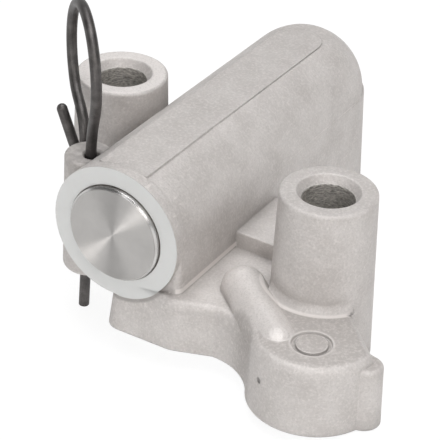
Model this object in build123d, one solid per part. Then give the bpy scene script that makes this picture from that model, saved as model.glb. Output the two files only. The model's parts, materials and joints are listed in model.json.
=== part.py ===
from build123d import *
import math
import os

os.makedirs("parts", exist_ok=True)

# Frame: the origin is on the axis of the right bolt hole, in the mounting face. +Z leaves the
# mounting face, the plunger comes out towards -Y, and +X runs from the barrel to the right bolt.
# All sizes are in millimetres and all angles in degrees.

# Main sizes
bolt_spacing_x = 38.4
bolt_spacing_y = 10.9
barrel_offset = 24.75
axis_height = 14.0
face_offset = 10.9
barrel_length = 48.2
draft = 1.6
wall_draft = 2.0

# Bolt bosses
bolt_hole_r = 3.4
boss_top_r = 6.3
boss_height = 23.6
boss_chamfer = 0.8
boss_chamfer_depth = 1.2
boss_round = 0.4
boss_inset = 0.7

# Barrel casting
ring_r = 9.4
ring_width = 1.6
ring_step = 0.4
barrel_front_r = 9.3
barrel_rear_r = 9.0
dome_angle = 86.0
wall_half = 9.75
wall_rear_r = 9.6
wall_rear_back = 0.4
wall_rear_round = 0.3
wall_left = -0.6
wall_left_back = 16.0
wall_corner_r = 1.2
pad_half_width = 3.6
pad_front_z = 8.7
pad_slope = 0.78
pad_step = 0.22
pad_root = 1.2
pad_end_gap = 2.1

# Bore
bore_r = 6.8
end_wall = 6.6
bore_mouth_chamfer = 0.15
bore_floor_round = 0.8
ring_groove_r = 8.2
ring_groove_width = 1.7
feed_recess_r = 7.5
feed_recess_start = 9.2
feed_recess_end = 27.0
feed_recess_flank = 0.7

# Running fits, as radial clearances
plunger_clearance = 0.05
ball_clearance = 0.1
pin_hole_clearance = 0.42
pin_mouth = 0.35

# Base plate and webs
plate_height = 7.4
web_height = 9.8
lobe_height = 9.8
corner_r = 2.5
plate_front = 1.2
plate_lean = 1.4
plate_left = -1.18
plate_back_x = 6.0
front_r = 3.0
scoop_r = 8.2
scoop_turn = 210.0
touch = 0.05
lobe_x = 4.85
lobe_y = -10.0
lobe_r = 8.6
lobe_cut_line = 2.9
lobe_round = 1.4
edge_round = 1.0
foot_fillet = 1.3
blend_sink = 0.06
web_r = 1.5
web_back_x = 7.0
web_boss_x = -1.0
web_boss_gap = 0.5
left_web_half = 4.4
web_front = 14.9
web_back = 27.0
nib_x = 12.5
nib_y = -10.9
nib_r = 2.3
nib_root = 4.0
nib_height = 8.7
nib_round = 0.6

# Oil passage ridge and the drilled passage below it
ridge_r = 3.0
ridge_end_angle = 80.0
ridge_z = 7.6
ridge_back_x = -9.2
ridge_back_y = -4.1
ridge_front_x = 0.8
ridge_front_y = -12.75
passage_r = 1.0
passage_start_z = 1.4
passage_end_x = 2.6
passage_end_back = 16.0
passage_end_drop = 6.6
inlet_x = 1.6
inlet_y = -12.9
inlet_length = 7.0
inlet_width = 4.4
inlet_depth = 2.5
mark_x = 5.55
mark_y = -12.55
mark_r = 2.05
mark_groove = 0.55
mark_groove_depth = 0.35

# Retaining pin and its lug
wire_r = 0.73
pin_offset = 8.6
pin_to_hole = 0.3
pin_back = 7.0
pin_tilt = 2.44
pin_below = 24.4
lug_offset = 0.25
lug_r = 3.3
lug_top = 19.6
lug_bottom = 2.0
lug_web = 3.6
lug_round = 0.5
lug_foot_round = 1.1
loop_r = 8.15
loop_turn = -44.0
loop_left = 3.3
loop_back = 3.05
loop_rise = 10.75
loop_near_angle = -26.0
loop_far_angle = 224.0
pin_straight = 0.4
clip_left = 3.1
clip_back = 3.1
clip_drop = 1.2
clip_bend = 0.95
tail_length = 5.0
tail_lean = 22.0

# Plunger and the valve in its rear end
plunger_length = 42.0
plunger_stand_out = 0.7
nose_chamfer = 0.3
rear_chamfer = 0.6
lock_groove_depth = 0.4
lock_groove_width = 1.7
reservoir_r = 4.0
reservoir_start = 4.5
reservoir_cone = 1.5
valve_depth = 29.0
spring_bore_r = 5.1
cross_hole_r = 1.1
cross_hole_depth = 26.0
seat_thickness = 2.4
seat_hole_r = 1.35
seat_chamfer = 0.5
ball_r = 2.0
ball_gap = 0.01
valve_spring_gap = 0.03
cage_wall = 0.5
cage_length = 5.4
cage_flange_thickness = 0.7
cage_window_r = 0.8
pressed_clearance = 0.02
valve_spring_wire_r = 0.16
valve_spring_r = 1.15
valve_spring_turns = 3
plunger_spring_wire_r = 0.55
plunger_spring_r = 4.25
plunger_spring_turns = 9
ratchet_ring_wire_r = 0.7
ratchet_ring_clearance = 0.05
ratchet_ring_gap = 34.0

# Places that follow from the sizes
axis_x = -barrel_offset
axis_z = axis_height
face_y = -face_offset
dome_y = face_y + barrel_length
bolt_left_x = -bolt_spacing_x
bolt_left_y = bolt_spacing_y
boss_foot_r = boss_top_r + boss_height * math.tan(math.radians(draft))
front_wall_y = face_y - plate_front
web_front_y = face_y + web_front
web_back_y = face_y + web_back
floor_y = dome_y + barrel_rear_r - end_wall
plunger_r = bore_r - plunger_clearance
nose_y = face_y - plunger_stand_out
pin_x = axis_x - pin_offset
pin_y = face_y + pin_back
lock_y = pin_y
pin_hole_r = wire_r + pin_hole_clearance
seat_rear_y = nose_y + valve_depth + seat_thickness
ball_y = seat_rear_y - seat_hole_r - seat_chamfer + (ball_r + ball_gap) * math.sqrt(2)

# The scoop between the plate's front corner and the lobe touches both
scoop_x = lobe_x + (lobe_r + scoop_r - touch) * math.cos(math.radians(scoop_turn))
scoop_y = lobe_y + (lobe_r + scoop_r - touch) * math.sin(math.radians(scoop_turn))
front_y = front_wall_y + front_r
front_x = scoop_x - math.sqrt((scoop_r + front_r - touch) ** 2 - (front_y - scoop_y) ** 2)


def at(x, y, z=0.0):
    return Pos(x, y, z)


def wrap(circles, z, slope=draft):
    """The outline pulled round some (x, y, radius) circles at a height, drawn in by the slope."""
    inset = z * math.tan(math.radians(slope))
    middle_x = sum(x for x, y, radius in circles) / len(circles)
    middle_y = sum(y for x, y, radius in circles) / len(circles)
    edges = []
    for x, y, radius in circles:
        inward = math.degrees(math.atan2(middle_y - y, middle_x - x))
        edges += (at(x, y) * Rot(0, 0, inward) * Circle(radius - inset)).edges()
    return at(0, 0, z) * make_hull(edges)


def drafted(height, *circles, slope=draft):
    """A drafted solid that stands on the mounting face inside the outline of some circles."""
    return loft([wrap(circles, 0, slope), wrap(circles, height, slope)], ruled=True)


def top_edges(solid, height):
    """The edges of a drafted solid's flat top."""
    return [edge for edge in solid.edges() if abs(edge.center().Z - height) < 0.01]


def turned(points):
    """A body turned about the barrel axis from (radius, y) points."""
    outline = Polyline(*points, close=True)
    solid = revolve(make_face(outline), Axis.Y)
    return at(axis_x, 0, axis_z) * solid


def between(start, end):
    """A plane at one point whose Z runs towards another, and the distance."""
    line = Vector(*end) - Vector(*start)
    return Plane(origin=start, z_dir=line), line.length


def rod(radius, start, end):
    """A round bar between two points."""
    plane, length = between(start, end)
    return plane * Cylinder(radius, length, align=(Align.CENTER, Align.CENTER, Align.MIN))


def capsule(radius, start, end):
    """A round bar between two points with ball ends, each with a small flat at its tip."""
    plane, length = between(start, end)
    side = Line((radius, 0), (radius, length))
    top = CenterArc((0, length), radius, 0, ridge_end_angle)
    bottom = CenterArc((0, 0), radius, -ridge_end_angle, ridge_end_angle)
    rest = Polyline(top @ 1, (0, (top @ 1).Y), (0, (bottom @ 0).Y), bottom @ 0)
    face = Plane.XZ * make_face([bottom, side, top, *rest.edges()])
    return plane * revolve(face, Axis.Z)


def bolt_boss(x, y):
    """One drafted boss that stands on the mounting face."""
    boss = Cone(boss_foot_r, boss_top_r, boss_height, align=(Align.CENTER, Align.CENTER, Align.MIN))
    boss = fillet(boss.edges().sort_by(Axis.Z)[-1], boss_round)
    return at(x, y) * boss


def bolt_hole(x, y):
    """The through hole of a boss, with its chamfered mouth."""
    hole = Cylinder(bolt_hole_r, boss_height + 2, align=(Align.CENTER, Align.CENTER, Align.MIN))
    mouth = Cone(
        bolt_hole_r, bolt_hole_r + boss_chamfer, boss_chamfer_depth,
        align=(Align.CENTER, Align.CENTER, Align.MAX),
    )
    return at(x, y, -1) * hole + at(x, y, boss_height) * mouth


def barrel():
    """The cast barrel: machined front ring, drafted round body and ball end."""
    ring_back = face_y + ring_width
    side = Polyline(
        (0, face_y), (ring_r, face_y), (ring_r, ring_back), (barrel_front_r, ring_back + ring_step),
        (barrel_rear_r, dome_y),
    )
    end = CenterArc((0, dome_y), barrel_rear_r, 0, dome_angle)
    inside = Polyline(end @ 1, (0, (end @ 1).Y), (0, face_y))
    solid = revolve(make_face([*side.edges(), end, *inside.edges()]), Axis.Y)
    return at(axis_x, 0, axis_z) * Rot(0, -90, 0) * solid


def wall():
    """The wall between the barrel and the mounting face, cut back on its front left side."""
    front = face_y + ring_step
    front_right = (axis_x + wall_half - wall_corner_r, front + wall_corner_r, wall_corner_r)
    front_left = (axis_x + wall_left + wall_corner_r, front + wall_corner_r, wall_corner_r)
    side_left = (axis_x - wall_half + corner_r, face_y + wall_left_back, corner_r)
    rear = (axis_x, dome_y + wall_rear_back, wall_rear_r)
    solid = drafted(axis_z, front_right, front_left, side_left, rear, slope=wall_draft)
    rear_edge = max(top_edges(solid, axis_z), key=lambda edge: edge.center().Y)
    return fillet(rear_edge, wall_rear_round)


def pad_block(half_width, sink, height, end_y):
    """A block that lies on the sloping plane of the barrel's top pad, or some way below it."""
    start_y = face_y + ring_width
    start_z = pad_front_z - sink
    end_z = start_z - (end_y - start_y) * math.tan(math.radians(pad_slope))
    side = Polyline(
        (start_y, start_z), (end_y, end_z), (end_y, end_z + height), (start_y, start_z + height),
        close=True,
    )
    face = Plane.YZ * make_face(side)
    return at(axis_x, 0, axis_z) * extrude(face, amount=half_width, both=True)


def pad():
    """The raised flat pad along the top of the barrel, with a round rear end."""
    start_y = face_y + ring_width
    end_y = dome_y - pad_end_gap
    block = pad_block(pad_half_width, pad_root, pad_root + pad_step, end_y + pad_half_width)
    plan = at(axis_x, (start_y + end_y) / 2) * Rectangle(2 * pad_half_width, end_y - start_y)
    plan += at(axis_x, end_y) * Circle(pad_half_width)
    return block & at(0, 0, axis_z) * extrude(plan, amount=ring_r)


def lobe_block(height):
    """The lobe and right boss outline up to a height, with its slanting right side."""
    block = drafted(height, (lobe_x, lobe_y, lobe_r), (0, 0, boss_foot_r - boss_inset))
    side = 4 * lobe_r
    cutter = Pos(side / 2, 0, 0) * Box(side, side, 4 * height)
    return block - at(lobe_cut_line / 2, lobe_cut_line / 2) * Rot(0, 0, 45) * cutter


def foot_blend():
    """The hollow fillet where the right boss meets the top of the lobe."""
    top = lobe_height + foot_fillet
    radius = boss_top_r + (boss_height - top) * math.tan(math.radians(draft)) - blend_sink
    low = Polyline((radius + foot_fillet, lobe_height), (0, lobe_height), (0, top), (radius, top))
    hollow = CenterArc((radius + foot_fillet, top), foot_fillet, 180, 90)
    ring = revolve(Plane.XZ * make_face([*low.edges(), hollow]), Axis.Z)
    return ring & lobe_block(top + 1)


def scoop():
    """The part of the plate whose front is hollowed out between its corner and the lobe."""
    to_lobe = math.degrees(math.atan2(lobe_y - scoop_y, lobe_x - scoop_x))
    to_front = math.degrees(math.atan2(front_y - scoop_y, front_x - scoop_x))
    faces = []
    for z in (0, plate_height):
        radius = scoop_r + z * math.tan(math.radians(draft))
        hollow = CenterArc((scoop_x, scoop_y), radius, to_lobe, to_front - to_lobe)
        rest = Polyline(hollow @ 1, (front_x, front_y), (0, 0), (lobe_x, lobe_y), hollow @ 0)
        faces.append(at(0, 0, z) * make_face([hollow, *rest.edges()]))
    solid = loft(faces, ruled=True)
    return fillet(solid.edges().filter_by(GeomType.CIRCLE).sort_by(Axis.Z)[-1], edge_round)


def plate():
    """The base plate with the lobe and the webs to both bosses."""
    right_boss = (0, 0, boss_foot_r - boss_inset)
    front = (front_x, front_y, front_r)
    back = (axis_x + plate_back_x, web_back_y - corner_r, corner_r)
    left_x = axis_x + plate_left + corner_r
    left_low = (left_x, front_wall_y + corner_r, corner_r)
    left_high = (left_x, front_wall_y + corner_r + plate_lean, corner_r)
    bottom = wrap([left_low, front, back, right_boss], 0)
    top = wrap([left_high, front, back, right_boss], plate_height)
    low = loft([bottom, top], ruled=True)
    low = fillet(top_edges(low, plate_height), edge_round)
    high = lobe_block(lobe_height)
    high = fillet(top_edges(high, lobe_height), lobe_round)
    web_y = web_front_y + web_r
    right_front = (web_boss_x, web_y, web_r)
    right_back = (web_boss_x, boss_foot_r - web_r - web_boss_gap, web_r)
    left_front = (axis_x, web_y, web_r)
    left_back = (axis_x + web_back_x, web_back_y - web_r, web_r)
    web = drafted(web_height, left_front, right_front, right_back, left_back)
    sides = (-left_web_half, left_web_half)
    ends = [(x, bolt_left_y + side, web_r) for x in (axis_x, bolt_left_x) for side in sides]
    web += drafted(web_height, *ends)
    return web + low + high + scoop() + foot_blend()


def nib():
    """The small lug at the tip of the lobe."""
    post = drafted(nib_height, (nib_x, nib_y, nib_r), (lobe_x + nib_root, lobe_y, nib_r))
    return fillet(top_edges(post, nib_height), nib_round)


def ridge():
    """The half round ridge over the drilled oil passage."""
    return capsule(
        ridge_r, (ridge_back_x, ridge_back_y, ridge_z), (ridge_front_x, ridge_front_y, ridge_z)
    )


def pin_lug():
    """The upright lug on the barrel's left side that guides the retaining pin."""
    height = lug_top - lug_bottom
    spread = height * math.tan(math.radians(draft / 2))
    post = Cone(lug_r + spread, lug_r, height, align=(Align.CENTER, Align.CENTER, Align.MIN))
    post = fillet(post.edges().sort_by(Axis.Z)[-1], lug_round)
    post = fillet(post.edges().sort_by(Axis.Z)[0], lug_foot_round)
    web_x = (pin_x + axis_x) / 2
    web = at(web_x, pin_y, lug_bottom) * Box(
        axis_x - pin_x, lug_web, axis_z - lug_bottom, align=(Align.CENTER, Align.CENTER, Align.MIN)
    )
    return at(pin_x - lug_offset, pin_y, lug_bottom) * post + web


def bore():
    """The turned space inside the barrel: bore, ring groove and feed recess."""
    mouth_r = bore_r + bore_mouth_chamfer
    groove_start = lock_y - ring_groove_width / 2
    groove_end = lock_y + ring_groove_width / 2
    recess_start = face_y + feed_recess_start
    recess_end = face_y + feed_recess_end
    return turned([
        (0, face_y - 1), (mouth_r, face_y - 1), (mouth_r, face_y), (bore_r, face_y + bore_mouth_chamfer),
        (bore_r, groove_start), (ring_groove_r, groove_start), (ring_groove_r, groove_end),
        (bore_r, groove_end), (bore_r, recess_start), (feed_recess_r, recess_start + feed_recess_flank),
        (feed_recess_r, recess_end - feed_recess_flank), (bore_r, recess_end),
        (bore_r, floor_y - bore_floor_round), (bore_r - bore_floor_round, floor_y), (0, floor_y),
    ])


def pin_frame(z, aside=0.0):
    """A point on the retaining pin's leaning axis at a height, or some way to the right of it."""
    lean = math.tan(math.radians(pin_tilt))
    return (pin_x + aside + (z - lug_top) * lean, pin_y, z)


def pin_hole():
    """The drilled guide hole, against whose left side the retaining pin stands."""
    hole = rod(pin_hole_r, pin_frame(lug_bottom - 2, pin_to_hole), pin_frame(lug_top + 3, pin_to_hole))
    low = pin_frame(lug_top - pin_hole_r, pin_to_hole)
    plane, length = between(low, pin_frame(lug_top + pin_hole_r, pin_to_hole))
    mouth = Cone(pin_mouth, pin_mouth + length, length, align=(Align.CENTER, Align.CENTER, Align.MIN))
    return hole + plane * mouth


def oil_inlet():
    """The recess in the mounting face where the oil comes in."""
    slot = SlotOverall(inlet_length, inlet_width, rotation=-45)
    return at(inlet_x, inlet_y, -1) * extrude(slot, amount=inlet_depth + 1)


def oil_passage():
    """The drilling from the inlet, under the ridge, to the feed recess in the bore."""
    target = (axis_x + passage_end_x, face_y + passage_end_back, axis_z - passage_end_drop)
    return rod(passage_r, (inlet_x, inlet_y, passage_start_z), target)


def ejector_mark():
    """The ring groove round the flat disc on the lobe."""
    outer = Cylinder(mark_r + mark_groove, mark_groove_depth * 2)
    inner = Cylinder(mark_r, mark_groove_depth * 2)
    return at(mark_x, mark_y, lobe_height) * (outer - inner)


def housing():
    """The die-cast body with all its machined features."""
    body = barrel() + wall()
    body -= pad_block(barrel_front_r, 0, barrel_front_r, dome_y + barrel_rear_r)
    body += pad()
    body += plate()
    body += nib()
    body += ridge()
    body += bolt_boss(0, 0)
    body += bolt_boss(bolt_left_x, bolt_left_y)
    body += pin_lug()
    body -= bore()
    body -= bolt_hole(0, 0)
    body -= bolt_hole(bolt_left_x, bolt_left_y)
    body -= pin_hole()
    body -= oil_inlet()
    body -= oil_passage()
    body -= ejector_mark()
    return body


def plunger():
    """The turned steel plunger with its lock groove, feed holes and rear counterbore."""
    rear = nose_y + plunger_length
    valve = nose_y + valve_depth
    half = lock_groove_width / 2
    bottom_r = plunger_r - lock_groove_depth
    points = [
        (0, nose_y), (plunger_r - nose_chamfer, nose_y), (plunger_r, nose_y + nose_chamfer),
        (plunger_r, lock_y - half), (bottom_r, lock_y - half + lock_groove_depth),
        (bottom_r, lock_y + half - lock_groove_depth), (plunger_r, lock_y + half),
        (plunger_r, rear - rear_chamfer), (plunger_r - rear_chamfer, rear), (spring_bore_r, rear),
        (spring_bore_r, valve), (reservoir_r, valve),
        (reservoir_r, nose_y + reservoir_start + reservoir_cone), (0, nose_y + reservoir_start),
    ]
    body = turned(points)
    middle = Pos(axis_x, nose_y + cross_hole_depth, axis_z)
    for turn in (0, 90):
        body -= middle * Rot(0, turn, 0) * Cylinder(cross_hole_r, plunger_r * 3)
    return body


def valve_seat():
    """The pressed-in seat disc of the check valve."""
    front = nose_y + valve_depth
    rear = front + seat_thickness
    outer = spring_bore_r - pressed_clearance
    return turned([
        (seat_hole_r, front), (outer, front), (outer, rear),
        (seat_hole_r + seat_chamfer, rear), (seat_hole_r, rear - seat_chamfer),
    ])


def valve_ball():
    """The check ball, resting on the chamfer of the seat."""
    return Pos(axis_x, ball_y, axis_z) * Sphere(ball_r)


def valve_cage():
    """The cup that holds the ball and its spring, with a flange under the plunger spring."""
    inner = ball_r + ball_clearance
    outer = inner + cage_wall
    end = seat_rear_y + cage_length
    vent = valve_spring_r - 2 * valve_spring_wire_r
    flange = spring_bore_r - pressed_clearance
    body = turned([
        (inner, seat_rear_y), (flange, seat_rear_y), (flange, seat_rear_y + cage_flange_thickness),
        (outer, seat_rear_y + cage_flange_thickness), (outer, end), (vent, end),
        (vent, end - cage_wall), (inner, end - cage_wall),
    ])
    middle = Pos(axis_x, seat_rear_y + cage_length / 2, axis_z)
    for turn in (0, 120, 240):
        body -= middle * Rot(0, turn, 0) * Pos(0, 0, outer) * Cylinder(cage_window_r, outer)
    return body


def coil(mean_r, wire_r, turns, start, end):
    """A wire coil on the barrel axis that just touches two flat ends."""
    height = end - start - 2 * wire_r
    path = Helix(height / turns, height, mean_r, center=(0, start + wire_r, 0), direction=(0, 1, 0))
    section = Plane(origin=path @ 0, z_dir=path % 0) * Circle(wire_r)
    return Pos(axis_x, 0, axis_z) * sweep(section, path=path, is_frenet=True)


def valve_spring():
    """The light coil behind the check ball."""
    reach = ball_r + valve_spring_wire_r
    rest = math.sqrt(reach ** 2 - valve_spring_r ** 2)
    start = ball_y + rest - valve_spring_wire_r + valve_spring_gap
    end = seat_rear_y + cage_length - cage_wall
    return coil(valve_spring_r, valve_spring_wire_r, valve_spring_turns, start, end)


def plunger_spring():
    """The main coil between the cage flange and the floor of the bore."""
    start = seat_rear_y + cage_flange_thickness
    return coil(plunger_spring_r, plunger_spring_wire_r, plunger_spring_turns, start, floor_y)


def ratchet_ring():
    """The split wire ring that sits in the housing groove and the plunger's lock groove."""
    mean = plunger_r - lock_groove_depth + ratchet_ring_clearance + ratchet_ring_wire_r
    arc = CenterArc((0, 0), mean, -90 + ratchet_ring_gap / 2, 360 - ratchet_ring_gap)
    path = Plane(origin=(axis_x, lock_y, axis_z), x_dir=(1, 0, 0), z_dir=(0, -1, 0)) * arc
    section = Plane(origin=path @ 0, z_dir=path % 0) * Circle(ratchet_ring_wire_r)
    return sweep(section, path=path)


def retaining_pin():
    """The bent wire pin: shank, finger loop, clip bend behind the lug, and tail."""
    across = Plane(
        origin=(pin_x - loop_left, pin_y + loop_back, lug_top + loop_rise),
        x_dir=(math.cos(math.radians(loop_turn)), math.sin(math.radians(loop_turn)), 0),
        z_dir=(math.sin(math.radians(loop_turn)), -math.cos(math.radians(loop_turn)), 0),
    )
    shank = Line(pin_frame(lug_top - pin_below), pin_frame(lug_top + pin_straight))
    sweep_angle = loop_far_angle - loop_near_angle
    loop = across * CenterArc((0, 0), loop_r, loop_near_angle, sweep_angle)
    rise = Spline(shank @ 1, loop @ 0, tangents=(shank % 1, loop % 0))
    clip_origin = (pin_x - clip_left - clip_bend, pin_y + clip_back, lug_top - clip_drop)
    clip_plane = Plane(origin=clip_origin, x_dir=(1, 0, 0), z_dir=(0, 1, 0))
    clip = clip_plane * CenterArc((0, 0), clip_bend, 0, 180 - tail_lean)
    fall = Spline(loop @ 1, clip @ 0, tangents=(loop % 1, clip % 0))
    tail = Line(clip @ 1, (clip @ 1) + (clip % 1) * tail_length)
    path = Wire([shank, rise, loop, fall, clip, tail])
    section = Plane(origin=path @ 0, z_dir=path % 0) * Circle(wire_r)
    pin = sweep(section, path=path)
    return pin + Pos(*(tail @ 1)) * Sphere(wire_r)


pieces = {
    "housing": housing,
    "plunger": plunger,
    "ratchet_ring": ratchet_ring,
    "retaining_pin": retaining_pin,
    "plunger_spring": plunger_spring,
    "valve_seat": valve_seat,
    "valve_ball": valve_ball,
    "valve_cage": valve_cage,
    "valve_spring": valve_spring,
}

for name, build_piece in pieces.items():
    export_step(build_piece(), f"parts/{name}.step")
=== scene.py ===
import json
import math

import bpy
import numpy as np
from mathutils import Matrix, Vector


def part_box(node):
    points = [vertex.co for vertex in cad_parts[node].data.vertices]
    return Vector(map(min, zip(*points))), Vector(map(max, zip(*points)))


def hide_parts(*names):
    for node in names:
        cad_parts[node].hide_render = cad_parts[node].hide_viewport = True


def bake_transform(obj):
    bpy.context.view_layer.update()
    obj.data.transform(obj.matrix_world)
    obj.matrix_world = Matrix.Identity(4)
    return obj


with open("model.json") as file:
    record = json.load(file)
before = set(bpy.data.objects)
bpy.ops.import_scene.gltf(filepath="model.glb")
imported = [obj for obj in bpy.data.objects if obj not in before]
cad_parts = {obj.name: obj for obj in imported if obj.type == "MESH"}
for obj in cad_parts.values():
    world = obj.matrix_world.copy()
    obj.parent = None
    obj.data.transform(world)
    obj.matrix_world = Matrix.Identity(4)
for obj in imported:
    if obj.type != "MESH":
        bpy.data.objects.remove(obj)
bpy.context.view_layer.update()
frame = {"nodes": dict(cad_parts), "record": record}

bl_info = {
    "name": "Chain tensioner finishes",
    "version": (1, 0, 0),
    "blender": (4, 5, 0),
    "location": "3D View > Sidebar > Tensioner",
    "description": "Finishes for a hydraulic chain tensioner with its pin, and its photo stage",
    "category": "Object",
}

MM = 0.001

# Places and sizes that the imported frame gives, in metres
PLUNGER_LOW, PLUNGER_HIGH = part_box("plunger")
AXIS_X = (PLUNGER_LOW.x + PLUNGER_HIGH.x) / 2
AXIS_Z = (PLUNGER_LOW.z + PLUNGER_HIGH.z) / 2
NOSE_Y = PLUNGER_LOW.y
PIN_END_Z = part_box("retaining_pin")[0].z
MOUNTS = {mount["name"]: mount for mount in frame["record"]["mounts"]}
RIGHT_BOLT = Vector(MOUNTS["bolt_hole_right"]["pos_m"])
LEFT_BOLT = Vector(MOUNTS["bolt_hole_left"]["pos_m"])
BOLT_RADIUS = MOUNTS["bolt_hole_right"]["dims"]["r_mm"] * MM

# The part's own sizes and places, typed in again because the frame gives only each node's box
RING_FACE_Y = -10.9 * MM
RING_RADIUS = 9.4 * MM
RIDGE_RADIUS = 3.0 * MM
RIDGE_RUN = (Vector((-9.2, -4.1, 7.6)) * MM, Vector((0.8, -12.75, 7.6)) * MM)
PLATE_TOP_Z = 7.4 * MM
LOBE_TOP_Z = 9.8 * MM
LOBE_REACH = 8.5 * MM
SCOOP_PLACE = (-9.66 * MM, -18.38 * MM)
SCOOP_RADIUS = 8.2 * MM
MARK_PLACE = (5.55 * MM, -12.55 * MM)
MARK_RADIUS = 2.05 * MM
HIGH_TOPS_Z = 19.4 * MM
LEFT_TOP_REACH = 8.0 * MM
BOSS_FOOT_RADIUS = 7.9 * MM
WALL_X = -15.0 * MM
WALL_FOOT_END_Y = 4.0 * MM
LUG_PLACE = (-33.65 * MM, -3.9 * MM)
LUG_TOP_Z = 19.6 * MM
PIN_HOLE_SHADE_REACH = 2.6 * MM
PIT_PLACE = Vector((1.2, -17.4, 5.4)) * MM

# The leaning sheet under the part: where the pin's end touches it, which way it climbs, how far along
# that way it reaches the mounting face's height, and its gap below the part
PIN_END = Vector((-34.39 * MM, -3.9 * MM, PIN_END_Z))
SHEET_UPHILL = Vector((0.8605, 0.5094))
SHEET_REACH = 7.50 * MM
SHEET_GAP = 0.05 * MM

# The point that the lamps face, and each lamp's name, azimuth and elevation in degrees, distance and
# size in metres, power in watts, and colour
LAMP_AIM = Vector((AXIS_X * 0.6, 6 * MM, AXIS_Z * 0.8))
LAMPS = (
    ("key_softbox", 55.0, 39.0, 0.58, 0.34, 0.88, (1.0, 0.975, 0.96)),
    ("front_softbox", 14.0, 18.0, 0.55, 0.22, 0.30, (1.0, 0.985, 0.97)),
    ("nose_softbox", 8.0, 14.0, 0.50, 0.16, 0.28, (1.0, 0.99, 0.98)),
    ("top_softbox", 20.0, 82.0, 0.60, 0.40, 2.05, (0.99, 0.99, 1.0)),
    ("back_softbox", -150.0, 70.0, 0.60, 0.40, 1.15, (0.98, 0.99, 1.0)),
)
WHITE = (1.0, 1.0, 1.0, 1.0)

UP = (0.0, 0.0, 1.0)
FRONT = (0.0, -1.0, 0.0)
LEFT = (-1.0, 0.0, 0.0)
RIGHT = (1.0, 0.0, 0.0)

# A closed-end coil: points along and round its wire, how many turns lie flat at each end, and how far
# such an end climbs, in radii of the wire
COIL_ROWS_PER_TURN = 48
COIL_COLUMNS = 14
COIL_FLAT_TURNS = 0.75
COIL_END_RISE = 2.05


class CastingSettings(bpy.types.PropertyGroup):
    """Finish of the shot-blasted aluminium casting."""

    colour: bpy.props.FloatVectorProperty(
        name="Casting colour", description="Blasted aluminium in even light", subtype="COLOR",
        size=3, min=0, max=1, default=(0.63, 0.60, 0.58),
    )
    # Its darker tones give real mottling and grain, and also painted shade: in corners, on flat tops, on
    # the scoop's left side, behind the ring's rim, round the pin's hole and in the pit.
    shade: bpy.props.FloatVectorProperty(
        name="Stain colour", description="Darker mottling and dirt in the corners", subtype="COLOR",
        size=3, min=0, max=1, default=(0.46, 0.43, 0.41),
    )
    machined: bpy.props.FloatVectorProperty(
        name="Machined colour", description="Freshly cut aluminium of the ring face", subtype="COLOR",
        size=3, min=0, max=1, default=(0.70, 0.71, 0.70),
    )
    # Darker than the casting, partly as painted shade inside the bolt holes.
    hole: bpy.props.FloatVectorProperty(
        name="Hole colour", description="Rough wall of the bolt holes", subtype="COLOR",
        size=3, min=0, max=1, default=(0.46, 0.44, 0.41),
    )
    grain: bpy.props.FloatProperty(
        name="Grain size", description="Width of one blasting dent", unit="LENGTH", default=0.37 * MM,
    )
    relief: bpy.props.FloatProperty(
        name="Relief", description="Depth of the blasted surface", unit="LENGTH", default=0.075 * MM,
    )
    pit: bpy.props.FloatProperty(
        name="Pit size", description="Radius of the one small casting pit", unit="LENGTH",
        default=0.34 * MM,
    )
    mottle: bpy.props.FloatProperty(
        name="Mottle size", description="Width of one pale or dark patch", unit="LENGTH",
        default=4.5 * MM,
    )
    edge: bpy.props.FloatProperty(
        name="Edge softness", description="Radius of the cast edges", unit="LENGTH", default=0.45 * MM,
    )
    roughness: bpy.props.FloatProperty(
        name="Casting roughness", description="Roughness of the blasted surface", subtype="FACTOR",
        min=0, max=1, default=0.60,
    )
    cut_roughness: bpy.props.FloatProperty(
        name="Machined roughness", description="Roughness of the cut faces", subtype="FACTOR",
        min=0, max=1, default=0.36,
    )
    ridge_polish: bpy.props.FloatProperty(
        name="Ridge polish", description="How much smoother the rubbed ridge is", subtype="FACTOR",
        min=0, max=1, default=0.11,
    )
    lathe_pitch: bpy.props.FloatProperty(
        name="Ring face pitch", description="Distance between two turning marks on the ring face",
        unit="LENGTH", default=0.12 * MM,
    )


class SteelSettings(bpy.types.PropertyGroup):
    """Finishes of the plunger, the springs and the check valve."""

    face: bpy.props.FloatVectorProperty(
        name="Face colour", description="Turned end face of the plunger", subtype="COLOR",
        size=3, min=0, max=1, default=(0.585, 0.57, 0.555),
    )
    ground: bpy.props.FloatVectorProperty(
        name="Ground colour", description="Ground side of the plunger", subtype="COLOR",
        size=3, min=0, max=1, default=(0.62, 0.61, 0.60),
    )
    spring: bpy.props.FloatVectorProperty(
        name="Spring colour", description="Oiled spring steel", subtype="COLOR",
        size=3, min=0, max=1, default=(0.33, 0.32, 0.31),
    )
    face_roughness: bpy.props.FloatProperty(
        name="Face roughness", description="Roughness of the turned end face", subtype="FACTOR",
        min=0, max=1, default=0.50,
    )
    ground_roughness: bpy.props.FloatProperty(
        name="Ground roughness", description="Roughness of the plunger's side", subtype="FACTOR",
        min=0, max=1, default=0.26,
    )
    brushing: bpy.props.FloatProperty(
        name="Brushing", description="How far the turning marks draw the highlight out",
        subtype="FACTOR", min=0, max=1, default=0.95,
    )
    lathe_pitch: bpy.props.FloatProperty(
        name="Lathe pitch", description="Distance between two turning marks", unit="LENGTH",
        default=0.09 * MM,
    )
    spring_wire: bpy.props.FloatProperty(
        name="Plunger spring wire", description="Radius of the main spring's wire", unit="LENGTH",
        default=0.55 * MM,
    )
    spring_turns: bpy.props.IntProperty(
        name="Plunger spring turns", description="Turns of the main spring", min=2, default=9,
    )
    valve_wire: bpy.props.FloatProperty(
        name="Valve spring wire", description="Radius of the valve spring's wire", unit="LENGTH",
        default=0.16 * MM,
    )
    valve_turns: bpy.props.IntProperty(
        name="Valve spring turns", description="Turns of the valve spring", min=2, default=3,
    )


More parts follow.
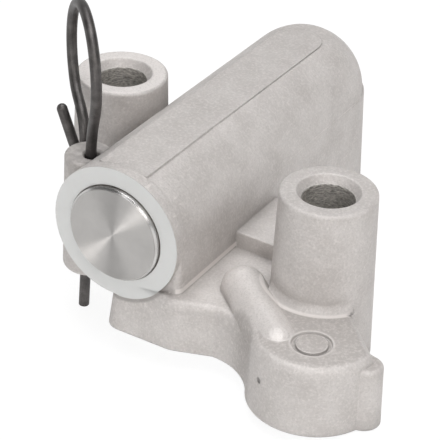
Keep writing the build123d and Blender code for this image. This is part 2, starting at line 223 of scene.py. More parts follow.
class PinSettings(bpy.types.PropertyGroup):
    """Finish of the bent wire pin."""

    colour: bpy.props.FloatVectorProperty(
        name="Wire colour", description="Blackened spring wire", subtype="COLOR",
        size=3, min=0, max=1, default=(0.075, 0.070, 0.068),
    )
    rub: bpy.props.FloatVectorProperty(
        name="Rubbed colour", description="Wire where the blackening is thin", subtype="COLOR",
        size=3, min=0, max=1, default=(0.16, 0.15, 0.145),
    )


class StageSettings(bpy.types.PropertyGroup):
    """Camera, room light and floor."""

    azimuth: bpy.props.FloatProperty(
        name="Azimuth", description="Turn of the camera about Z", subtype="ANGLE",
        default=math.radians(30.147),
    )
    elevation: bpy.props.FloatProperty(
        name="Elevation", description="Height angle of the camera", subtype="ANGLE",
        default=math.radians(32.302),
    )
    roll: bpy.props.FloatProperty(
        name="Roll", description="Turn of the camera about its own line of sight", subtype="ANGLE",
        default=math.radians(-2.542),
    )
    place: bpy.props.FloatVectorProperty(
        name="Camera place", description="Where the camera stands", subtype="TRANSLATION",
        unit="LENGTH", size=3, default=(100.45 * MM, -199.79 * MM, 159.69 * MM),
    )
    lens: bpy.props.FloatProperty(
        name="Lens", description="Focal length of the camera", unit="CAMERA", default=171.1,
    )
    sensor: bpy.props.FloatProperty(
        name="Sensor", description="Width of the camera's sensor", unit="CAMERA", default=36.0,
    )
    floor_size: bpy.props.FloatProperty(
        name="Floor size", description="Half the width of the floor", unit="LENGTH", default=1.2,
    )
    floor_colour: bpy.props.FloatVectorProperty(
        name="Floor colour", description="White sheet under the part", subtype="COLOR",
        size=3, min=0, max=1, default=(0.93, 0.93, 0.93),
    )
    floor_glow: bpy.props.FloatProperty(
        name="Floor glow", description="How white the floor looks to the camera", subtype="FACTOR",
        min=0, max=2, default=1.06,
    )
    floor_shadow: bpy.props.FloatProperty(
        name="Floor shadow", description="Share of the lit floor that shows through its glow",
        subtype="FACTOR", min=0, max=1, default=0.14,
    )
    daylight: bpy.props.FloatVectorProperty(
        name="Room light", description="Even light from all sides", subtype="COLOR",
        size=3, min=0, max=1, default=(0.12, 0.12, 0.12),
    )


def tint(colour, factor):
    """The same colour made lighter or darker, at most full."""
    return tuple(min(1.0, channel * factor) for channel in colour)


class Graph:
    """Shader nodes, written as short calls. A share is a value from 0 to 1."""

    def __init__(self, tree, coordinates="Object"):
        self.tree = tree
        self.tree.nodes.clear()
        self.place = self.tree.nodes.new("ShaderNodeTexCoord").outputs[coordinates]

    def feed(self, socket, value):
        """Links a node's output to a socket, or sets the socket to a plain value."""
        if isinstance(value, bpy.types.NodeSocket):
            self.tree.links.new(value, socket)
        else:
            socket.default_value = value

    def math(self, operation, first, second=0.0, third=0.0, clamp=False):
        """One sum on plain numbers."""
        node = self.tree.nodes.new("ShaderNodeMath")
        node.operation = operation
        node.use_clamp = clamp
        for socket, value in zip(node.inputs, (first, second, third)):
            self.feed(socket, value)
        return node.outputs[0]

    def vector(self, operation, first, second):
        """One sum on two vectors, whose result may be a plain number."""
        node = self.tree.nodes.new("ShaderNodeVectorMath")
        node.operation = operation
        self.feed(node.inputs[0], first)
        self.feed(node.inputs[1], second)
        return node.outputs["Value" if operation in ("DOT_PRODUCT", "DISTANCE") else "Vector"]

    def all_of(self, *shares):
        """Product of several shares."""
        product = shares[0]
        for share in shares[1:]:
            product = self.math("MULTIPLY", product, share)
        return product

    def any_of(self, *shares):
        """Largest of several shares."""
        largest = shares[0]
        for share in shares[1:]:
            largest = self.math("MAXIMUM", largest, share)
        return largest

    def step(self, value, start, end):
        """0 at start, 1 at end, and a smooth rise between. Start may be the larger one."""
        node = self.tree.nodes.new("ShaderNodeMapRange")
        node.interpolation_type = "SMOOTHSTEP"
        self.feed(node.inputs["Value"], value)
        node.inputs["From Min"].default_value = start
        node.inputs["From Max"].default_value = end
        return node.outputs["Result"]

    def below(self, value, limit, fade):
        """1 up to the limit, and 0 from one fade beyond it."""
        return self.step(value, limit + fade, limit)

    def above(self, value, limit, fade):
        """0 up to the limit, and 1 from one fade beyond it."""
        return self.step(value, limit, limit + fade)

    def spread(self, value, low, high, start=0.0, end=1.0):
        """Carries a value that runs from start to end evenly over to low to high."""
        node = self.tree.nodes.new("ShaderNodeMapRange")
        self.feed(node.inputs["Value"], value)
        node.inputs["From Min"].default_value = start
        node.inputs["From Max"].default_value = end
        node.inputs["To Min"].default_value = low
        node.inputs["To Max"].default_value = high
        return node.outputs["Result"]

    def mix(self, kind, share, first, second):
        """Goes over from the first value to the second, both of one kind."""
        node = self.tree.nodes.new("ShaderNodeMix")
        node.data_type = kind
        self.feed(node.inputs["Factor"], share)
        self.feed(node.inputs["A"], first)
        self.feed(node.inputs["B"], second)
        return node.outputs["Result"]

    def blend(self, share, first, second):
        """Goes over from the first colour to the second."""
        first, second = (
            colour if isinstance(colour, bpy.types.NodeSocket) else (*colour, 1.0)
            for colour in (first, second)
        )
        return self.mix("RGBA", share, first, second)

    def blend_shader(self, share, first, second):
        """Goes over from the first shader to the second."""
        node = self.tree.nodes.new("ShaderNodeMixShader")
        self.feed(node.inputs["Fac"], share)
        self.feed(node.inputs[1], first)
        self.feed(node.inputs[2], second)
        return node.outputs["Shader"]

    def noise(self, size, detail=2.0, roughness=0.5, place=None):
        """Cloudy noise whose patches are about one size wide."""
        node = self.tree.nodes.new("ShaderNodeTexNoise")
        self.feed(node.inputs["Vector"], place or self.place)
        node.inputs["Scale"].default_value = 1 / size
        node.inputs["Detail"].default_value = detail
        node.inputs["Roughness"].default_value = roughness
        return node.outputs["Fac"]

    def cells(self, size):
        """Distance to the nearest of many scattered points, about one size apart."""
        node = self.tree.nodes.new("ShaderNodeTexVoronoi")
        self.feed(node.inputs["Vector"], self.place)
        node.inputs["Scale"].default_value = 1 / size
        return node.outputs["Distance"]

    def squeezed(self, scale):
        """The coordinates times a factor along each axis, which squeezes a pattern by that factor."""
        node = self.tree.nodes.new("ShaderNodeMapping")
        self.feed(node.inputs["Vector"], self.place)
        node.inputs["Scale"].default_value = scale
        return node.outputs["Vector"]

    def axes(self):
        """The three coordinates one by one."""
        node = self.tree.nodes.new("ShaderNodeSeparateXYZ")
        self.feed(node.inputs["Vector"], self.place)
        return node.outputs["X"], node.outputs["Y"], node.outputs["Z"]

    def from_line(self, first, second, first_middle, second_middle):
        """Distance from a straight line, given by the two coordinates across it."""
        across = self.math("SUBTRACT", first, first_middle)
        along = self.math("SUBTRACT", second, second_middle)
        square = self.math("MULTIPLY_ADD", across, across, self.math("MULTIPLY", along, along))
        return self.math("SQRT", square)

    def from_run(self, first, second):
        """Distance from a straight run between two points."""
        line = second - first
        offset = self.vector("SUBTRACT", self.place, tuple(first))
        share = self.vector("DOT_PRODUCT", offset, tuple(line / line.length_squared))
        share = self.math("ADD", share, 0.0, clamp=True)
        return self.vector("DISTANCE", offset, self.vector("MULTIPLY", share, tuple(line)))

    def turning_marks(self, from_axis, pitch):
        """Waves in rings round an axis, one pitch apart."""
        return self.math("SINE", self.math("MULTIPLY", from_axis, 2 * math.pi / pitch))

    def soft_normal(self, radius):
        """The surface's direction as if its edges were rounded."""
        node = self.tree.nodes.new("ShaderNodeBevel")
        node.samples = 6
        node.inputs["Radius"].default_value = radius
        return node.outputs["Normal"]

    def open_sky(self, distance):
        """1 on open surfaces, less in corners."""
        node = self.tree.nodes.new("ShaderNodeAmbientOcclusion")
        node.samples = 8
        node.inputs["Distance"].default_value = distance
        return node.outputs["AO"]

    def relief(self, height, depth, normal):
        """The surface's direction with small heights on it."""
        node = self.tree.nodes.new("ShaderNodeBump")
        node.inputs["Strength"].default_value = 1.0
        node.inputs["Distance"].default_value = depth
        self.feed(node.inputs["Height"], height)
        self.feed(node.inputs["Normal"], normal)
        return node.outputs["Normal"]

    def seen_in_mirrors(self, path):
        """1 for what metal or glass shows."""
        return self.any_of(path.outputs["Is Glossy Ray"], path.outputs["Is Transmission Ray"])


class Finish(Graph):
    """A material's nodes, which end in one surface shader."""

    SOCKETS = {
        "colour": "Base Color", "roughness": "Roughness", "metal": "Metallic", "normal": "Normal",
        "brushing": "Anisotropic", "brushing_turn": "Anisotropic Rotation", "brushing_line": "Tangent",
        "gloss": "Specular IOR Level",
    }

    def __init__(self, name):
        self.material = bpy.data.materials.new(name)
        self.material.use_nodes = True
        super().__init__(self.material.node_tree)
        self.output = self.tree.nodes.new("ShaderNodeOutputMaterial")
        self.surface = self.tree.nodes.new("ShaderNodeBsdfPrincipled")
        self.tree.links.new(self.surface.outputs["BSDF"], self.output.inputs["Surface"])

    def finish(self, **values):
        """Sets the surface's sockets, named in plain words."""
        for key, value in values.items():
            self.feed(self.surface.inputs[self.SOCKETS[key]], value)
        return self.material


class CastingFinish(Finish):
    """The casting's nodes, with the share of the surface that each feature takes, told by its place."""

    def __init__(self, settings):
        super().__init__("blasted_aluminium")
        self.settings = settings
        self.x, self.y, self.z = self.axes()
        self.from_axis = self.from_line(self.x, self.z, AXIS_X, AXIS_Z)
        self.from_mark = self.from_line(self.x, self.y, *MARK_PLACE)
        self.on_ring = self.ring_face()
        rounded = self.soft_normal(settings.edge)
        self.soft = self.mix("VECTOR", self.on_ring, rounded, FRONT)
        self.upward = self.facing(UP, start=0.90, end=0.985)
        self.low = self.below(self.z, LOBE_TOP_Z + 0.3 * MM, fade=0.5 * MM)

    def facing(self, direction, start, end):
        """1 where the surface faces a direction, 0 where it turns away from it."""
        return self.step(self.vector("DOT_PRODUCT", self.soft, direction), start, end)

    def round_post(self, middle, radius, fade):
        """1 inside an upright round post."""
        return self.below(self.from_line(self.x, self.y, middle[0], middle[1]), radius, fade)

    def ring_face(self):
        """The cut face round the plunger."""
        before_face = self.below(self.y, RING_FACE_Y + 0.02 * MM, fade=0.04 * MM)
        return self.all_of(before_face, self.below(self.from_axis, RING_RADIUS, fade=0.06 * MM))

    def cut_faces(self):
        """The ring face and the mounting face."""
        return self.any_of(self.on_ring, self.below(self.z, 0.02 * MM, fade=0.04 * MM))

    def bolt_holes(self):
        """The walls of both bolt holes."""
        holes = (self.round_post(bolt, BOLT_RADIUS * 1.01, fade=BOLT_RADIUS * 0.02)
                 for bolt in (RIGHT_BOLT, LEFT_BOLT))
        return self.any_of(*holes)

    def edge_wear_and_glint(self, sky):
        """Rounded edges that aren't in a corner, in broken lengths, painted paler partly as edge wear
        and partly as a painted highlight.
        """
        geometry = self.tree.nodes.new("ShaderNodeNewGeometry")
        edge = self.facing(geometry.outputs["True Normal"], start=0.995, end=0.86)
        broken = self.spread(self.noise(0.8 * MM), 0.35, 1.0, start=0.35, end=0.6)
        return self.all_of(edge, self.step(sky, start=0.55, end=0.85), broken)

    def ridge(self):
        """The ridge over the oil drilling, clear of the plate."""
        near_run = self.below(self.from_run(*RIDGE_RUN), RIDGE_RADIUS + 0.1 * MM, fade=0.2 * MM)
        return self.all_of(near_run, self.above(self.z, PLATE_TOP_Z + 0.2 * MM, fade=1.1 * MM))

    def lobe_top(self):
        """The flat top of the lobe, where shade is painted."""
        near_mark = self.below(self.from_mark, LOBE_REACH, fade=2.5 * MM)
        return self.all_of(near_mark, self.low, self.upward)

    def scoop(self):
        """The hollow wall between the plate's corner and the lobe, on its side that faces left, where
        shade is painted.
        """
        near_wall = self.round_post(SCOOP_PLACE, SCOOP_RADIUS + 0.2 * MM, fade=0.7 * MM)
        return self.all_of(near_wall, self.low, self.facing(LEFT, start=0.15, end=0.65))

    def tops(self):
        """The flat tops of bosses, lug and barrel, and the left boss's by itself. Shade is painted on
        the first, and a highlight on the left boss's top.
        """
        all_tops = self.all_of(self.upward, self.above(self.z, HIGH_TOPS_Z, fade=2.0 * MM))
        near_left_bolt = self.round_post(LEFT_BOLT, LEFT_TOP_REACH, fade=1.0 * MM)
        return all_tops, self.all_of(all_tops, near_left_bolt)

    def ring_rim_shadow(self):
        """The narrow step behind the rim of the ring face, where a shadow line is painted."""
        return self.all_of(
            self.above(self.from_axis, RING_RADIUS, fade=0.1 * MM),
            self.below(self.from_axis, RING_RADIUS + 0.3 * MM, fade=0.4 * MM),
            self.below(self.y, RING_FACE_Y + 0.3 * MM, fade=0.4 * MM),
        )

    def wall_foot(self):
        """A thin painted highlight along the foot of the flat wall."""
        return self.all_of(
            self.above(self.z, PLATE_TOP_Z + 0.05 * MM, fade=0.15 * MM),
            self.below(self.z, PLATE_TOP_Z + 0.7 * MM, fade=0.3 * MM),
            self.above(self.x, WALL_X - 1.2 * MM, fade=0.4 * MM),
            self.below(self.x, WALL_X + 0.8 * MM, fade=0.4 * MM),
            self.below(self.y, WALL_FOOT_END_Y, fade=2.0 * MM),
            self.facing(RIGHT, start=0.2, end=0.5),
        )

    def mark_rim(self):
        """The rim round the ejector mark on the lobe, where a highlight is painted."""
        return self.all_of(
            self.above(self.from_mark, MARK_RADIUS + 0.3 * MM, fade=0.15 * MM),
            self.below(self.from_mark, MARK_RADIUS + 0.6 * MM, fade=0.4 * MM), self.low,
        )

    def boss_foot(self):
        """The rim where the right boss's hollow foot meets the lobe, where a highlight is painted."""
        from_boss = self.from_line(self.x, self.y, RIGHT_BOLT.x, RIGHT_BOLT.y)
        return self.all_of(
            self.above(from_boss, BOSS_FOOT_RADIUS - 0.6 * MM, fade=0.4 * MM),
            self.below(from_boss, BOSS_FOOT_RADIUS + 0.1 * MM, fade=0.3 * MM),
            self.above(self.z, LOBE_TOP_Z - 0.3 * MM, fade=0.25 * MM),
        )

    def pin_hole_shade(self):
        """Cloudy painted shade round the pin's hole."""
        cloud = self.spread(self.noise(1.1 * MM), 0.25, 1.0, start=0.35, end=0.65)
        near_top = self.above(self.z, LUG_TOP_Z - 3.5 * MM, fade=3.0 * MM)
        return self.all_of(self.round_post(LUG_PLACE, PIN_HOLE_SHADE_REACH, fade=1.6 * MM), near_top, cloud)

    def pit(self):
        """The one small casting pit in the lobe's front, darkened with painted shade."""
        from_pit = self.vector("DISTANCE", self.place, tuple(PIT_PLACE))
        return self.below(from_pit, self.settings.pit * 0.6, fade=self.settings.pit * 0.9)

    def scuffs(self):
        """Light scuffs on the barrel close behind the ring face."""
        flecks = self.noise(0.9 * MM, detail=3.0, place=self.squeezed((1.0, 0.45, 1.0)))
        return self.all_of(
            self.spread(flecks, 0.0, 1.0, start=0.60, end=0.70),
            self.below(self.y, RING_FACE_Y + 2.0 * MM, fade=5.0 * MM),
            self.below(self.from_axis, RING_RADIUS + 1.6 * MM, fade=1.6 * MM),
        )


def casting_material(settings):
    """Blasted aluminium with a cut ring face and rough bolt holes, with painted shade and painted
    highlights.
    """
    g = CastingFinish(settings)
    cut, in_hole, on_ridge, in_pit = g.cut_faces(), g.bolt_holes(), g.ridge(), g.pit()
    on_tops, on_left_top = g.tops()
    pale = tint(settings.colour, 1.24)
    # Two darker tones of painted shade: the lighter one for faces turned from the light, the deeper one
    # for corners, the ring's rim, the pin's hole and the pit.
    face_shade_tone, painted_shade = tint(settings.shade, 0.94), tint(settings.shade, 0.55)

    patches = g.noise(settings.mottle, detail=3.0, roughness=0.55)
    speckle = g.noise(settings.grain, detail=1.5, roughness=0.6)
    fine = g.noise(settings.grain * 0.6, detail=1.0)
    dents = g.cells(settings.grain * 1.3)
    hole_grain = g.noise(0.27 * MM, detail=3.0, roughness=0.7, place=g.squeezed((0.45, 0.45, 1.4)))
    sky = g.open_sky(3.0 * MM)

    # Painted highlight: the ridge and the left boss's top are made paler, as if lit.
    painted_sheen = g.any_of(g.all_of(on_ridge, 0.5), g.all_of(on_left_top, 0.9))
    # Painted shade: the lobe's top, the flat tops other than the left boss's, and the scoop's
    # left-facing side are darkened for how the light falls on them.
    painted_face_shade = g.any_of(g.all_of(g.lobe_top(), 0.85), g.all_of(on_tops, 0.30))
    painted_face_shade = g.any_of(g.math("SUBTRACT", painted_face_shade, on_left_top), g.all_of(g.scoop(), 0.9))
    # Paler marks: painted highlights on the outer edges, along the wall's foot, on the mark's rim and on
    # the boss's foot, with edge wear and real scuffs.
    wear_and_highlights = g.any_of(
        g.edge_wear_and_glint(sky), g.wall_foot(), g.all_of(g.mark_rim(), 0.6), g.boss_foot(),
        g.all_of(g.scuffs(), 0.55),
    )
    # Painted shade: a shadow line behind the ring's rim, shade round the pin's hole, and the shade in
    # the pit.
    painted_shadow_mask = g.any_of(g.all_of(g.ring_rim_shadow(), 0.6), g.all_of(g.pin_hole_shade(), 0.55), in_pit)
    cut_tone = g.blend(g.spread(g.noise(1.4 * MM), 0.0, 0.3), settings.machined, settings.colour)
    # The holes' wavy grain is their own, and their darker tone is partly painted shade.
    hole_grain_and_shade = g.blend(
        g.spread(hole_grain, 0.0, 1.0, start=0.34, end=0.68), tint(settings.hole, 0.50),
        tint(settings.hole, 1.5),
    )
    layers = (
        (g.spread(patches, 0.0, 0.58, start=0.36, end=0.7), settings.shade),
        (painted_sheen, pale),
        (painted_face_shade, face_shade_tone),
        (g.spread(speckle, 0.0, 0.46, start=0.45, end=0.75), pale),
        (g.spread(fine, 0.42, 0.0, start=0.25, end=0.5), settings.shade),
        # Painted shade in corners: darker where the surface is less open.
        (g.spread(sky, 0.48, 0.0, start=0.35, end=0.95), painted_shade),
        (wear_and_highlights, pale),
        (painted_shadow_mask, painted_shade),
        (cut, cut_tone),
        (in_hole, hole_grain_and_shade),
    )
    colour = settings.colour
    for share, tone in layers:
        colour = g.blend(share, colour, tone)

    blasted = g.math("SUBTRACT", 1.0, g.any_of(cut, g.all_of(in_hole, 0.6)))
    height = g.all_of(g.math("MULTIPLY_ADD", speckle, 0.6, g.all_of(dents, 0.5)), blasted)
    marks = g.all_of(g.turning_marks(g.from_axis, settings.lathe_pitch), cut)
    for share, amount in ((marks, 0.02), (g.all_of(hole_grain, in_hole), 2.2), (in_pit, -6.0)):
        height = g.math("MULTIPLY_ADD", share, amount, height)
    normal = g.relief(height, settings.relief, g.soft)

    roughness = g.spread(cut, settings.roughness, settings.cut_roughness)
    roughness = g.math("MULTIPLY_ADD", on_ridge, -settings.ridge_polish, roughness)
    return g.finish(colour=colour, roughness=roughness, metal=0.25, normal=normal, gloss=0.5)


def plunger_material(settings):
    """Hardened steel, turned on its end face and ground on its side."""
    g = Finish("turned_steel_plunger")
    x, y, z = g.axes()
    on_face = g.below(y, NOSE_Y + 0.05 * MM, fade=0.07 * MM)
    stain = g.noise(3.0 * MM, detail=3.0, roughness=0.6)
    stained = g.spread(stain, 0.0, 0.5, start=0.4, end=0.7)
    face = g.blend(stained, settings.face, tint(settings.face, 0.86))
    colour = g.blend(on_face, settings.ground, face)
    tangent = g.tree.nodes.new("ShaderNodeTangent")
    tangent.direction_type = "RADIAL"
    tangent.axis = "Y"
    marks = g.turning_marks(g.from_line(x, z, AXIS_X, AXIS_Z), settings.lathe_pitch)
    normal = g.relief(g.all_of(marks, on_face), depth=0.0006 * MM, normal=g.soft_normal(0.12 * MM))
    return g.finish(
        colour=colour, roughness=g.spread(on_face, settings.ground_roughness, settings.face_roughness),
        metal=1.0, normal=normal, brushing=settings.brushing, brushing_turn=0.25,
        brushing_line=tangent.outputs["Tangent"],
    )


def wire_material(settings):
    """Blackened spring wire, its blackening a little thin in places."""
    g = Finish("blackened_wire")
    patches = g.noise(1.6 * MM, detail=3.0, roughness=0.6)
    fine = g.noise(0.14 * MM, detail=1.0)
    colour = g.blend(g.spread(patches, 0.0, 0.75, start=0.42, end=0.75), settings.colour, settings.rub)
    colour = g.blend(g.spread(fine, 0.0, 0.3, start=0.45, end=0.8), colour, settings.rub)
    height = g.math("MULTIPLY_ADD", fine, 0.5, g.all_of(patches, 0.5))
    normal = g.relief(height, depth=0.012 * MM, normal=g.soft_normal(0.12 * MM))
    return g.finish(colour=colour, roughness=g.spread(patches, 0.38, 0.52), metal=0.75, normal=normal)


def steel_material(name, colour, roughness, pitch):
    """Plain turned or drawn steel with fine marks and a faint oil film."""
    g = Finish(name)
    film = g.noise(1.5 * MM, detail=3.0, roughness=0.6)
    marks = g.noise(pitch, detail=1.0, place=g.squeezed((0.4, 1.8, 0.4)))
    tone = g.blend(g.spread(film, 0.0, 0.7, start=0.4, end=0.75), colour, tint(colour, 0.72))
    normal = g.relief(marks, depth=0.004 * MM, normal=g.soft_normal(0.08 * MM))
    oiled = g.spread(film, roughness, roughness + 0.12)
    return g.finish(colour=tone, roughness=oiled, metal=1.0, normal=normal)


def paint(node, material):
    """Puts a material on a CAD node."""
    mesh = frame["nodes"][node].data
    mesh.materials.clear()
    mesh.materials.append(material)


def mesh_piece(name, points, faces, material):
    """A new smooth object at the origin whose mesh holds its own place."""
    mesh = bpy.data.meshes.new(name)
    mesh.from_pydata(points.tolist(), [], faces)
    mesh.polygons.foreach_set("use_smooth", np.ones(len(mesh.polygons), bool))
    mesh.materials.append(material)
    mesh.update()
    piece = bpy.data.objects.new(name, mesh)
    bpy.context.scene.collection.objects.link(piece)
    return piece


def grid_faces(rows, columns, closed):
    """Four-sided faces of a grid of points, whose columns may close on themselves.

    The corners of each face are a point, the next one in its row, the one behind that, and the one
    behind the first.
    """
    steps = columns if closed else columns - 1
    row, column = np.meshgrid(np.arange(rows - 1), np.arange(steps), indexing="ij")
    beside = (column + 1) % columns
    corners = (
        row * columns + column, row * columns + beside,
        (row + 1) * columns + beside, (row + 1) * columns + column,
    )
    return np.stack(corners, axis=-1).reshape(-1, 4)


def cap_faces(columns, start, middle, reverse=False):
    """Three-sided faces that join one row of a closed grid to a middle point. Reverse flips them."""
    around = start + np.arange(columns)
    beside = start + (np.arange(columns) + 1) % columns
    pair = (beside, around) if reverse else (around, beside)
    return np.stack([np.full(columns, middle), *pair], axis=1)


def coil_piece(name, low, high, wire, turns, material):
    """A closed-end coil about the barrel's axis between two flat ends.

    The wire's centre goes round a circle while it climbs: slowly over the first and last turn, where its
    ends lie flat, and evenly between. Round that centre the surface is a circle of the wire's radius,
    square to the way that the wire runs.
    """
    radius = (high.x - low.x) / 2 - wire
    climb_height = high.y - low.y - 2 * wire
    rows = COIL_ROWS_PER_TURN * turns + 1
    share = np.linspace(0.0, 1.0, rows)
    flat = COIL_FLAT_TURNS / turns
    climb = np.clip((share - flat) / (1 - 2 * flat), 0.0, 1.0)
    rise = COIL_END_RISE * wire / climb_height
    ends = np.clip(share / flat, 0.0, 1.0) + np.clip((share - 1 + flat) / flat, 0.0, 1.0)
    lift = rise * ends + (1 - 2 * rise) * climb
    turn = 2 * math.pi * turns * share
    outward = np.stack([np.cos(turn), np.zeros(rows), np.sin(turn)], axis=1)
    centre = outward * radius
    centre += [(low.x + high.x) / 2, low.y + wire, (low.z + high.z) / 2]
    centre[:, 1] += lift * climb_height
    along = np.gradient(centre, axis=0)
    along /= np.linalg.norm(along, axis=1, keepdims=True)
    upward = np.cross(along, outward)
    upward /= np.linalg.norm(upward, axis=1, keepdims=True)
    angle = np.linspace(0.0, 2 * math.pi, COIL_COLUMNS, endpoint=False)[None, :, None]
    around = np.cos(angle) * outward[:, None] + np.sin(angle) * upward[:, None]
    skin = (centre[:, None] + wire * around).reshape(-1, 3)
    points = np.concatenate([skin, centre[:1], centre[-1:]])
    count = rows * COIL_COLUMNS
    faces = grid_faces(rows, COIL_COLUMNS, closed=True).tolist()
    faces += cap_faces(COIL_COLUMNS, 0, count, reverse=True).tolist()
    faces += cap_faces(COIL_COLUMNS, count - COIL_COLUMNS, count + 1).tolist()
    return mesh_piece(name, points, faces, material)


class TENSIONER_OT_casting(bpy.types.Operator):
    """Finish the cast housing"""

    bl_idname = "tensioner.casting"
    bl_label = "Casting"

    def execute(self, context):
        paint("housing", casting_material(context.scene.tensioner_casting))
        return {"FINISHED"}


class TENSIONER_OT_plunger(bpy.types.Operator):
    """Finish the plunger and its ratchet ring"""

    bl_idname = "tensioner.plunger"
    bl_label = "Plunger"

    def execute(self, context):
        settings = context.scene.tensioner_steel
        steel = steel_material("oiled_ring_wire", settings.spring, roughness=0.32, pitch=0.2 * MM)
        paint("plunger", plunger_material(settings))
        paint("ratchet_ring", steel)
        return {"FINISHED"}


class TENSIONER_OT_pin(bpy.types.Operator):
    """Finish the retaining pin"""

    bl_idname = "tensioner.pin"
    bl_label = "Retaining pin"

    def execute(self, context):
        paint("retaining_pin", wire_material(context.scene.tensioner_pin))
        return {"FINISHED"}


class TENSIONER_OT_springs(bpy.types.Operator):
    """Make both springs as closed-end coils in place of the plain spring parts"""

    bl_idname = "tensioner.springs"
    bl_label = "Springs"

    def execute(self, context):
        settings = context.scene.tensioner_steel
        steel = steel_material("oiled_spring_wire", settings.spring, roughness=0.30, pitch=0.15 * MM)
        coils = (
            ("plunger_spring", "plunger_group", "body", settings.spring_wire, settings.spring_turns),
            ("valve_spring", "ball", "plunger_group", settings.valve_wire, settings.valve_turns),
        )
        for node, front_body, rear_body, wire, turns in coils:
            low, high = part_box(node)
            piece = coil_piece(node + "_coil", low, high, wire, turns, steel)
            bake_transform(piece)
            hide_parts(node)
        return {"FINISHED"}


class TENSIONER_OT_valve(bpy.types.Operator):
    """Finish the seat, the ball and the cage of the check valve"""

    bl_idname = "tensioner.valve"
    bl_label = "Check valve"

    def execute(self, context):
        settings = context.scene.tensioner_steel
        seat = steel_material("turned_seat", settings.ground, roughness=0.28, pitch=0.12 * MM)
        cage = steel_material("pressed_cage", settings.face, roughness=0.34, pitch=0.25 * MM)
        ball = steel_material("polished_ball", settings.ground, roughness=0.08, pitch=0.5 * MM)
        for node, material in (("valve_seat", seat), ("valve_cage", cage), ("valve_ball", ball)):
            paint(node, material)
        return {"FINISHED"}


def floor_piece(settings):
    """A white sheet that leans so that it touches the pin's end and the edge of the mounting face.

    It is a flat plane: its height rises evenly from the pin's end to the far line, at the height of the
    mounting face, and it is level across that.
    """
    slope = -PIN_END.z / (SHEET_REACH - SHEET_UPHILL.dot(PIN_END.xy))
    side = np.linspace(-settings.floor_size, settings.floor_size, 3)
    x, y = np.meshgrid(side, side, indexing="ij")
    height = slope * (x * SHEET_UPHILL.x + y * SHEET_UPHILL.y - SHEET_REACH) - SHEET_GAP
    points = np.stack([x, y, height], axis=-1).reshape(-1, 3)
    faces = grid_faces(len(side), len(side), closed=False)[:, ::-1].tolist()
    return mesh_piece("white_sheet", points, faces, floor_material(settings))


def floor_material(settings):
    """White paper that stays white behind the part and keeps a faint shadow."""
    g = Finish("white_paper")
    g.finish(colour=(*settings.floor_colour, 1.0), roughness=0.9)
    glow = g.tree.nodes.new("ShaderNodeEmission")
    glow.inputs["Color"].default_value = WHITE
    glow.inputs["Strength"].default_value = settings.floor_glow
    path = g.tree.nodes.new("ShaderNodeLightPath")
    seen = g.any_of(path.outputs["Is Camera Ray"], g.seen_in_mirrors(path))
    share = g.all_of(seen, 1.0 - settings.floor_shadow)
    paper = g.blend_shader(share, g.surface.outputs["BSDF"], glow.outputs["Emission"])
    g.feed(g.output.inputs["Surface"], paper)
    return g.material


def room(settings):
    """Dim even light with a white backdrop.

    The camera sees white all round. Metal sees it up to a low height, as it would see a curved sheet of
    paper behind the part, and the dim room above that.
    """
    world = bpy.data.worlds.new("room")
    world.use_nodes = True
    g = Graph(world.node_tree, coordinates="Generated")
    dim, white = (g.tree.nodes.new("ShaderNodeBackground") for _ in range(2))
    dim.inputs["Color"].default_value = (*settings.daylight, 1.0)
    white.inputs["Color"].default_value = WHITE
    path = g.tree.nodes.new("ShaderNodeLightPath")
    near_floor = g.below(g.axes()[2], 0.10, fade=0.20)
    seen = g.any_of(path.outputs["Is Camera Ray"], g.all_of(g.seen_in_mirrors(path), near_floor))
    output = g.tree.nodes.new("ShaderNodeOutputWorld")
    light = g.blend_shader(seen, dim.outputs["Background"], white.outputs["Background"])
    g.feed(output.inputs["Surface"], light)
    return world


def direction(azimuth, elevation):
    """The way out to a point: azimuth turns from -Y towards +X, and elevation is its height angle."""
    level = math.cos(elevation)
    return Vector((math.sin(azimuth) * level, -math.cos(azimuth) * level, math.sin(elevation)))


def lamp(name, place, aim, size, power, colour):
    """A square soft lamp that faces a point."""
    light = bpy.data.lights.new(name, "AREA")
    light.size = size
    light.energy = power
    light.color = colour
    lamp_object = bpy.data.objects.new(name, light)
    bpy.context.scene.collection.objects.link(lamp_object)
    lamp_object.location = place
    lamp_object.rotation_euler = (aim - place).to_track_quat("-Z", "Y").to_euler()


def photo_camera(settings):
    """The camera at the photo's place, turned by azimuth and elevation and then by its roll."""
    back = direction(settings.azimuth, settings.elevation)
    level_right = Vector(UP).cross(back).normalized()
    level_up = back.cross(level_right)
    right = math.cos(settings.roll) * level_right - math.sin(settings.roll) * level_up
    up = math.cos(settings.roll) * level_up + math.sin(settings.roll) * level_right
    camera = bpy.data.cameras.new("photo_camera")
    camera.lens = settings.lens
    camera.sensor_width = settings.sensor
    camera.clip_start = 0.01
    camera_object = bpy.data.objects.new("photo_camera", camera)
    bpy.context.scene.collection.objects.link(camera_object)
    turn = Matrix((right, up, back)).transposed().to_4x4()
    camera_object.matrix_world = Matrix.Translation(Vector(settings.place)) @ turn
    return camera_object


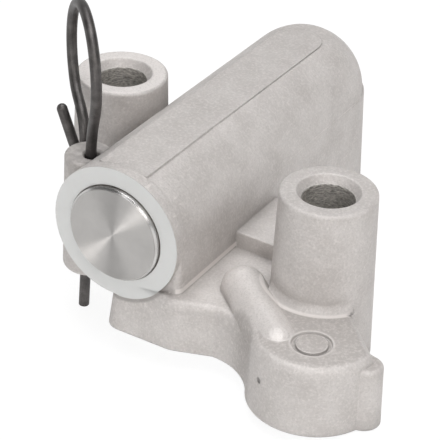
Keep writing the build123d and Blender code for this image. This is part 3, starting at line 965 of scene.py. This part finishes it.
class TENSIONER_OT_stage(bpy.types.Operator):
    """Set the floor, the lamps, the room light and the camera"""

    bl_idname = "tensioner.stage"
    bl_label = "Stage"

    def execute(self, context):
        settings = context.scene.tensioner_stage
        scene = context.scene
        floor_piece(settings)
        for name, azimuth, elevation, distance, size, power, colour in LAMPS:
            place = LAMP_AIM + distance * direction(math.radians(azimuth), math.radians(elevation))
            lamp(name, place, LAMP_AIM, size, power, colour)
        scene.world = room(settings)
        scene.view_settings.view_transform = "Standard"
        scene.camera = photo_camera(settings)
        return {"FINISHED"}


class TENSIONER_PT_panel(bpy.types.Panel):
    """All settings, and one button for each step"""

    bl_idname = "TENSIONER_PT_panel"
    bl_label = "Chain tensioner"
    bl_space_type = "VIEW_3D"
    bl_region_type = "UI"
    bl_category = "Tensioner"

    def draw(self, context):
        for group, settings in SETTINGS.items():
            column = self.layout.column()
            for name in settings.__annotations__:
                column.prop(getattr(context.scene, group), name)
        for operator in OPERATORS:
            self.layout.operator(operator.bl_idname)


OPERATORS = (
    TENSIONER_OT_casting, TENSIONER_OT_plunger, TENSIONER_OT_pin, TENSIONER_OT_springs,
    TENSIONER_OT_valve, TENSIONER_OT_stage,
)
SETTINGS = {
    "tensioner_casting": CastingSettings, "tensioner_steel": SteelSettings,
    "tensioner_pin": PinSettings, "tensioner_stage": StageSettings,
}


def register():
    """Adds the settings, the operators and the panel."""
    for group, settings in SETTINGS.items():
        bpy.utils.register_class(settings)
        setattr(bpy.types.Scene, group, bpy.props.PointerProperty(type=settings))
    for operator in OPERATORS:
        bpy.utils.register_class(operator)
    bpy.utils.register_class(TENSIONER_PT_panel)


def unregister():
    """Takes them away again."""
    bpy.utils.unregister_class(TENSIONER_PT_panel)
    for operator in reversed(OPERATORS):
        bpy.utils.unregister_class(operator)
    for group, settings in SETTINGS.items():
        delattr(bpy.types.Scene, group)
        bpy.utils.unregister_class(settings)


def main():
    """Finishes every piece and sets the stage."""
    register()
    bpy.ops.tensioner.casting()
    bpy.ops.tensioner.plunger()
    bpy.ops.tensioner.pin()
    bpy.ops.tensioner.springs()
    bpy.ops.tensioner.valve()
    bpy.ops.tensioner.stage()


if __name__ == "__main__":
    main()
